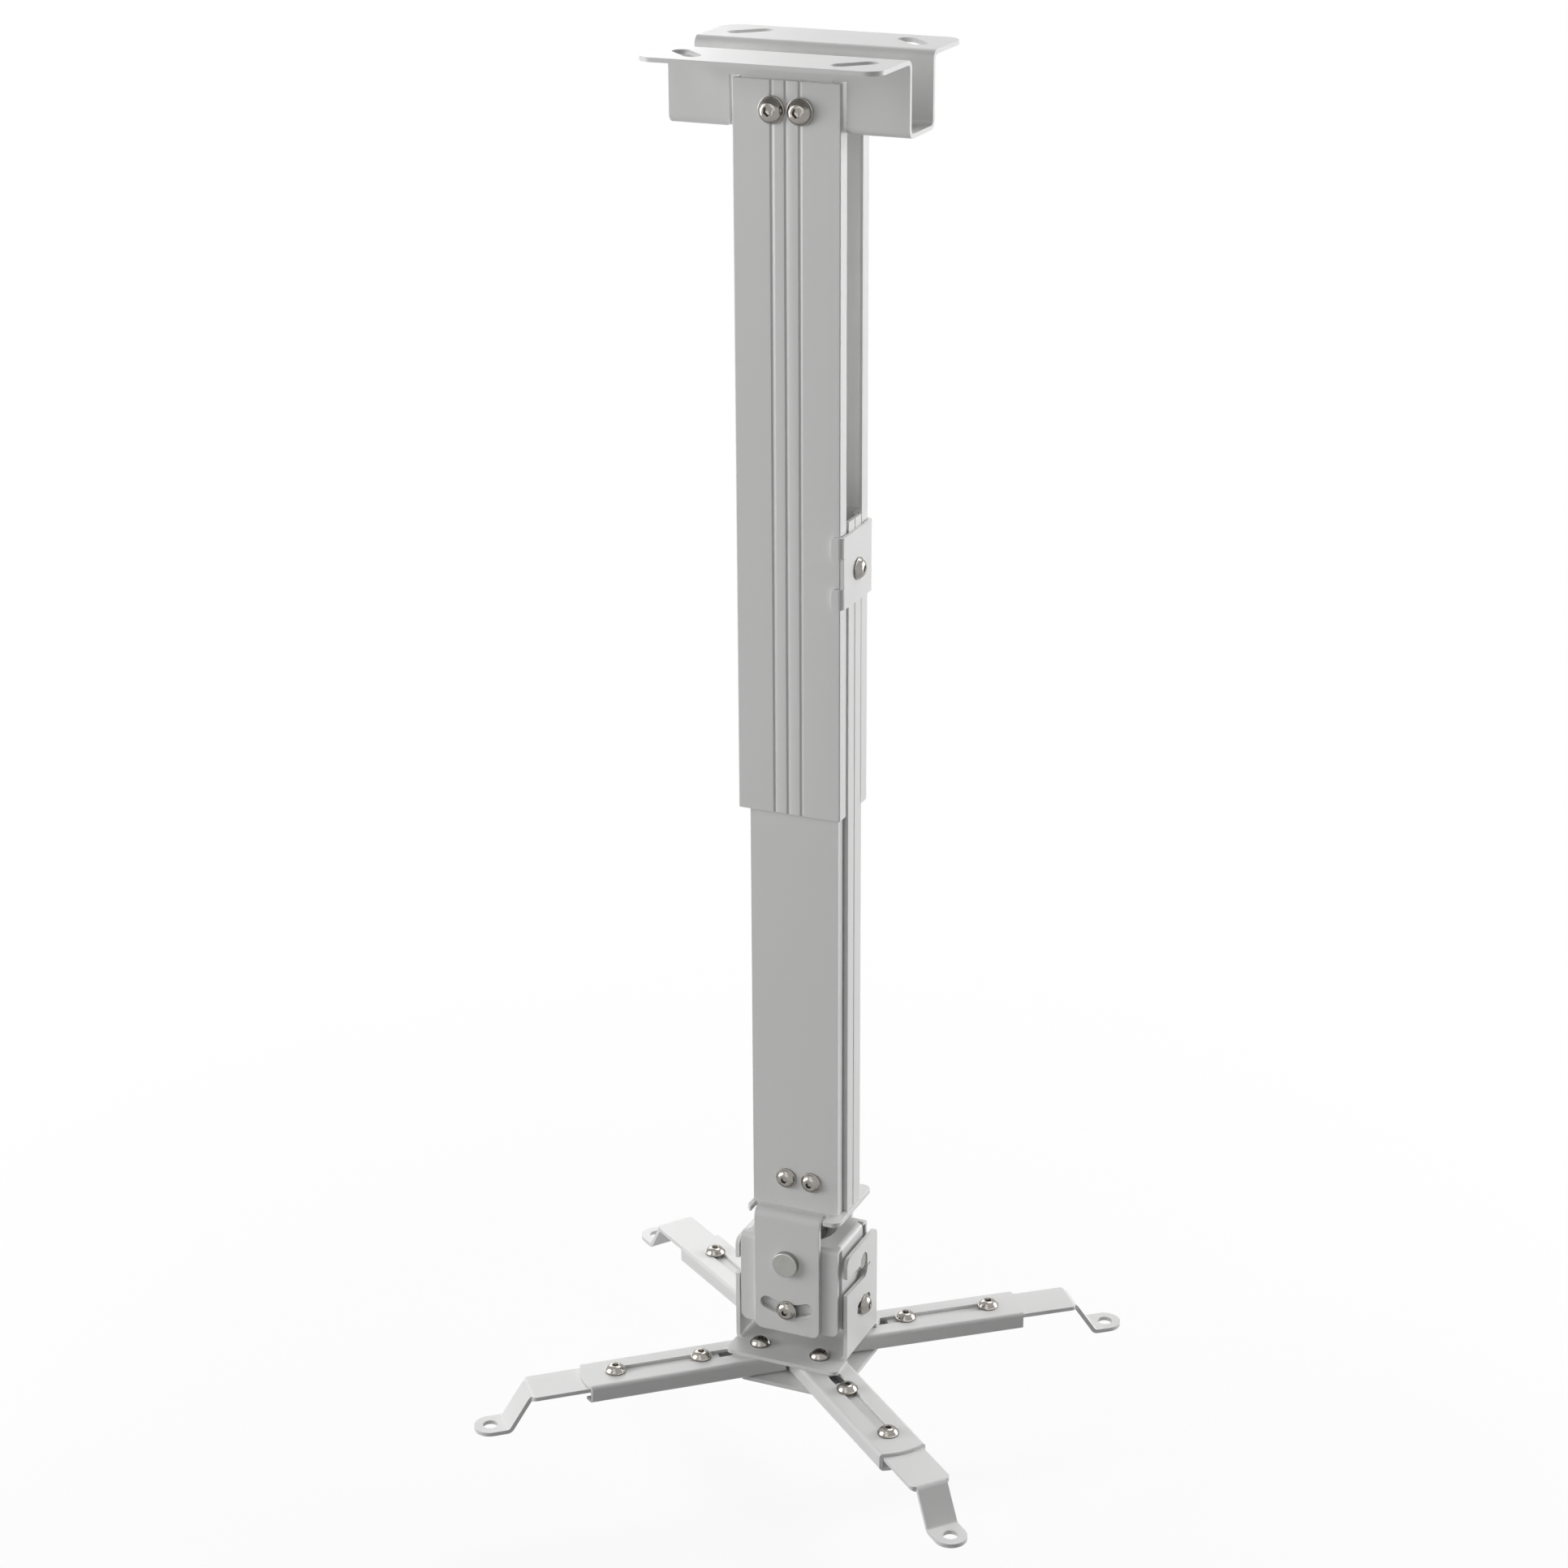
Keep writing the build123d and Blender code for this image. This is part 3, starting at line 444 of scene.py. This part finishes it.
nutFinish = {"discVertices": 48, "boreVertices": 32, "faceShare": 0.97, "coneAngle": math.radians(30),
             "rimBevel": 0.12, "rimAngle": math.radians(25), "boreGap": 0.05, "cutOver": 1.0}


def makeNut(size):
    # a hexagon with turned corners and a bore, its middle at the origin
    corner = size["width"] / math.sqrt(3)
    faceRadius = size["width"] / 2 * nutFinish["faceShare"]
    fall = (corner - faceRadius) * math.tan(nutFinish["coneAngle"])
    deselectAll()
    bpy.ops.mesh.primitive_cylinder_add(
        vertices=nutFinish["discVertices"], radius=corner * mm, depth=(size["height"] - 2 * fall) * mm,
        location=(0, 0, 0))
    piece = bpy.context.object
    bpy.ops.object.mode_set(mode="EDIT")
    bpy.ops.mesh.select_mode(type="FACE")
    for side in (-1, 1):
        selectByHeight(piece, side * (size["height"] / 2 - fall) * mm)
        bpy.ops.mesh.extrude_region_move(TRANSFORM_OT_translate={"value": (0, 0, side * fall * mm)})
        bpy.ops.transform.resize(value=(faceRadius / corner, faceRadius / corner, 1))
    bpy.ops.object.mode_set(mode="OBJECT")
    depth = size["height"] + nutFinish["cutOver"]
    cuts = [("INTERSECT", 6, corner),
            ("DIFFERENCE", nutFinish["boreVertices"], size["bore"] + nutFinish["boreGap"])]
    for operation, vertices, radius in cuts:
        deselectAll()
        bpy.ops.mesh.primitive_cylinder_add(vertices=vertices, radius=radius * mm, depth=depth * mm,
                                            location=(0, 0, 0))
        cutter = bpy.context.object
        applyModifier(piece, "BOOLEAN", operation=operation, object=cutter, solver="EXACT")
        bpy.data.objects.remove(cutter)
    applyModifier(piece, "BEVEL", width=nutFinish["rimBevel"] * mm, segments=2, limit_method="ANGLE",
                  angle_limit=nutFinish["rimAngle"], use_clamp_overlap=True)
    activate(piece)
    bpy.ops.object.shade_smooth_by_angle(angle=nutFinish["rimAngle"])
    return piece


def outwardOf(axis, middle):
    # screws stand up on a level plate, and point away from the middle on an upright one
    outward = Vector((0, 0, 0))
    outward[axis] = 1 if axis == 2 or middle[axis] > 0 else -1
    return outward


def boxMiss(points, low, high):
    # how far the points' own box is from the box given
    return sum(abs(min(p[i] for p in points) - low[i]) + abs(max(p[i] for p in points) - high[i])
               for i in range(3))


def placedCopies(nodeName, master, axis, spin=0.0, isNut=False):
    # one object for the node, with a copy of the master screw or nut at each of its solids
    made = []
    headTop = max(v.co.z for v in master.data.vertices)
    for index, (low, high) in enumerate(solidsOf(nodeName)):
        middle = (low + high) / 2
        outward = outwardOf(axis, middle)
        toward = outward.to_track_quat("Z", "Y").to_matrix().to_4x4()
        if isNut:
            # a hexagon stands either on a corner or on a flat
            seat = middle
            turns = [0.0, math.radians(30)]
        else:
            reach = max(corner.dot(outward) for corner in (low, high))
            seat = middle - outward * middle.dot(outward) + outward * (reach - headTop)
            turns = [spin * (index + 1)]
        places = [Matrix.Translation(seat) @ toward @ Matrix.Rotation(turn, 4, "Z") for turn in turns]
        best = min(places, key=lambda place: boxMiss([place @ v.co for v in master.data.vertices], low, high))
        copy = bpy.data.objects.new("copy", master.data.copy())
        bpy.context.scene.collection.objects.link(copy)
        copy.data.transform(best)
        made.append(copy)
    deselectAll()
    for copy in made:
        copy.select_set(True)
    bpy.context.view_layer.objects.active = made[0]
    if len(made) > 1:
        bpy.ops.object.join()
    dress(bpy.context.view_layer.objects.active, nodeName)


def shankLength(nodeName, axis, size):
    low, high = solidsOf(nodeName)[0]
    return (high[axis] - low[axis]) / mm - size["height"]


# turns: how many turns of thread the shank's end shows. spin: how far each screw of a row is turned on
corners = ["front_left", "front_right", "back_right", "back_left"]
screwJobs = [
    {"nodes": ["mast_bolts_front", "mast_bolts_back"], "size": largeScrew, "axis": 1, "turns": 2,
     "spin": 0.9},
    {"nodes": ["end_bolts_front", "end_bolts_back"], "size": smallScrew, "axis": 1, "turns": 2, "spin": 1.3},
    {"nodes": ["roll_bolts"], "size": smallScrew, "axis": 1, "turns": 2, "spin": 0.4},
    {"nodes": ["pitch_bolts"], "size": smallScrew, "axis": 0, "turns": 2, "spin": 0.8},
    {"nodes": ["clip_screw"], "size": smallScrew, "axis": 0, "turns": 2, "spin": 0.5},
    {"nodes": ["pivot_bolts"], "size": smallScrew, "axis": 2, "turns": 6, "spin": 0.7},
    {"nodes": ["foot_screws_" + corner for corner in corners], "size": smallScrew, "axis": 2, "turns": 6,
     "spin": 1.1},
]
for job in screwJobs:
    shank = shankLength(job["nodes"][0], job["axis"], job["size"])
    master = makeScrew(job["size"], shank)
    addThread(master, job["size"], shank, job["turns"])
    for nodeName in job["nodes"]:
        placedCopies(nodeName, master, job["axis"], job["spin"])
    bpy.data.objects.remove(master)
print("screws finished")

smallNut = {"width": 8.0, "height": 4.0, "bore": 2.5}
largeNut = {"width": 10.0, "height": 5.0, "bore": 3.0}
studNut = {"width": 18.0, "height": 6.5, "bore": 6.0}
nutJobs = [
    {"nodes": ["mast_nuts_front", "mast_nuts_back"], "size": largeNut, "axis": 1},
    {"nodes": ["end_nuts_front", "end_nuts_back", "roll_nuts"], "size": smallNut, "axis": 1},
    {"nodes": ["clip_nut", "pitch_nuts"], "size": smallNut, "axis": 0},
    {"nodes": ["pivot_nuts"] + ["foot_nuts_" + corner for corner in corners], "size": smallNut, "axis": 2},
    {"nodes": ["swivel_nut"], "size": studNut, "axis": 2},
]
for job in nutJobs:
    master = makeNut(job["size"])
    for nodeName in job["nodes"]:
        placedCopies(nodeName, master, job["axis"], isNut=True)
    bpy.data.objects.remove(master)
print("nuts finished")


# Camera: the photograph's angle and lens

view = {"place": (0.5801, -1.34685, 0.2289), "forward": (-0.37413, 0.85458, -0.36016),
        "up": (-0.13998, 0.33188, 0.93288), "lens": 78.01, "sensor": 36.0, "clipEnd": 100.0}
forward = Vector(view["forward"]).normalized()
upward = Vector(view["up"])
right = forward.cross(upward).normalized()
upward = right.cross(forward)
cameraData = bpy.data.cameras.new("photoCamera")
cameraData.lens = view["lens"]
cameraData.sensor_width = view["sensor"]
cameraData.clip_end = view["clipEnd"]
camera = bpy.data.objects.new("photoCamera", cameraData)
bpy.context.scene.collection.objects.link(camera)
turn = Matrix((right, upward, -forward)).transposed().to_4x4()
camera.matrix_world = Matrix.Translation(Vector(view["place"])) @ turn
bpy.context.scene.camera = camera


# Floor and light

# the mount hangs, so the floor leaves room below the feet for a head that is tilted to its limits
studio = {
    "floorDrop": 0.06, "floorSize": 60.0, "paperRoughness": 0.9,
    "paperTone": (0.95, 0.95, 0.95, 1), "bounceTone": (0.35, 0.35, 0.35, 1),
    "shadowShare": 0.13, "shadowFull": 0.28, "shadowEnd": 0.75,
}
lamps = [
    {"name": "rightBackSoft", "place": (1.2, 1.0, -0.05), "aimHeight": -0.35, "size": 1.1, "power": 16.8},
    {"name": "rightBackLowSoft", "place": (1.05, 0.95, -0.5), "aimHeight": -0.5, "size": 0.8, "power": 4.4},
    {"name": "backLeftSoft", "place": (-1.15, 1.15, 0.3), "aimHeight": -0.35, "size": 1.1, "power": 9.5},
    {"name": "topBackSoft", "place": (0.1, 0.9, 1.0), "aimHeight": -0.4, "size": 0.9, "power": 10.0},
    {"name": "frontLeftSoft", "place": (-1.4, -1.0, 0.2), "aimHeight": -0.35, "size": 1.1, "power": 11.2},
    {"name": "leftLowSoft", "place": (-1.3, -0.5, -0.4), "aimHeight": -0.5, "size": 0.8, "power": 7.1},
    {"name": "frontSoft", "place": (0.1, -1.8, 0.3), "aimHeight": -0.35, "size": 1.1, "power": 3.6},
    {"name": "frontTopSoft", "place": (-0.2, -1.1, 1.1), "aimHeight": -0.35, "size": 0.9, "power": 2.4},
]


def whiteRays(tree, seen):
    # 1 for the rays that see the backdrop itself: straight, mirrored or through glass
    shown = mathNode(tree, "MAXIMUM", seen.outputs["Is Camera Ray"], seen.outputs["Is Glossy Ray"])
    return mathNode(tree, "MAXIMUM", shown, seen.outputs["Is Transmission Ray"])


bpy.ops.mesh.primitive_plane_add(size=studio["floorSize"],
                                 location=(0, 0, cadBox[0][2] - studio["floorDrop"]))
floor = bpy.context.object
floor.name = "studioFloor"
floorPaper = bpy.data.materials.new("studioPaper")
floorPaper.use_nodes = True
tree = floorPaper.node_tree
paper = tree.nodes["Principled BSDF"]
paper.inputs["Roughness"].default_value = studio["paperRoughness"]
paper.inputs["Specular IOR Level"].default_value = 0.0
seen = addNode(tree, "ShaderNodeLightPath")
paperTone = addNode(tree, "ShaderNodeMix", data_type="RGBA")
paperTone.inputs["A"].default_value = studio["bounceTone"]
paperTone.inputs["B"].default_value = studio["paperTone"]
tree.links.new(seen.outputs["Is Camera Ray"], paperTone.inputs["Factor"])
tree.links.new(paperTone.outputs["Result"], paper.inputs["Base Color"])
glow = addNode(tree, "ShaderNodeEmission")
glow.inputs["Strength"].default_value = 1.0
# the shadow shows near the feet and fades out, so the far floor stays white
where = addNode(tree, "ShaderNodeTexCoord")
distance = addNode(tree, "ShaderNodeVectorMath", operation="LENGTH")
fade = addNode(tree, "ShaderNodeMapRange", interpolation_type="SMOOTHSTEP")
fade.inputs["From Min"].default_value = studio["shadowFull"]
fade.inputs["From Max"].default_value = studio["shadowEnd"]
fade.inputs["To Min"].default_value = 1.0 - studio["shadowShare"]
fade.inputs["To Max"].default_value = 1.0
tree.links.new(where.outputs["Object"], distance.inputs[0])
tree.links.new(distance.outputs["Value"], fade.inputs["Value"])
whiteShare = mathNode(tree, "MULTIPLY", whiteRays(tree, seen), fade.outputs["Result"])
blendNode = addNode(tree, "ShaderNodeMixShader")
tree.links.new(whiteShare, blendNode.inputs["Fac"])
tree.links.new(paper.outputs["BSDF"], blendNode.inputs[1])
tree.links.new(glow.outputs["Emission"], blendNode.inputs[2])
tree.links.new(blendNode.outputs["Shader"], tree.nodes["Material Output"].inputs["Surface"])
floor.data.materials.append(floorPaper)

world = bpy.data.worlds.new("studioWorld")
world.use_nodes = True
tree = world.node_tree
background = tree.nodes["Background"]
background.inputs["Color"].default_value = (1, 1, 1, 1)
seen = addNode(tree, "ShaderNodeLightPath")
tree.links.new(whiteRays(tree, seen), background.inputs["Strength"])
bpy.context.scene.world = world

for lamp in lamps:
    data = bpy.data.lights.new(lamp["name"], "AREA")
    data.shape = "SQUARE"
    data.size = lamp["size"]
    data.energy = lamp["power"]
    lampObject = bpy.data.objects.new(lamp["name"], data)
    lampObject.location = lamp["place"]
    aim = Vector((0, 0, lamp["aimHeight"])) - Vector(lamp["place"])
    lampObject.rotation_euler = aim.to_track_quat("-Z", "Y").to_euler()
    bpy.context.scene.collection.objects.link(lampObject)
bpy.context.scene.view_settings.view_transform = "Standard"
print("camera and light set")
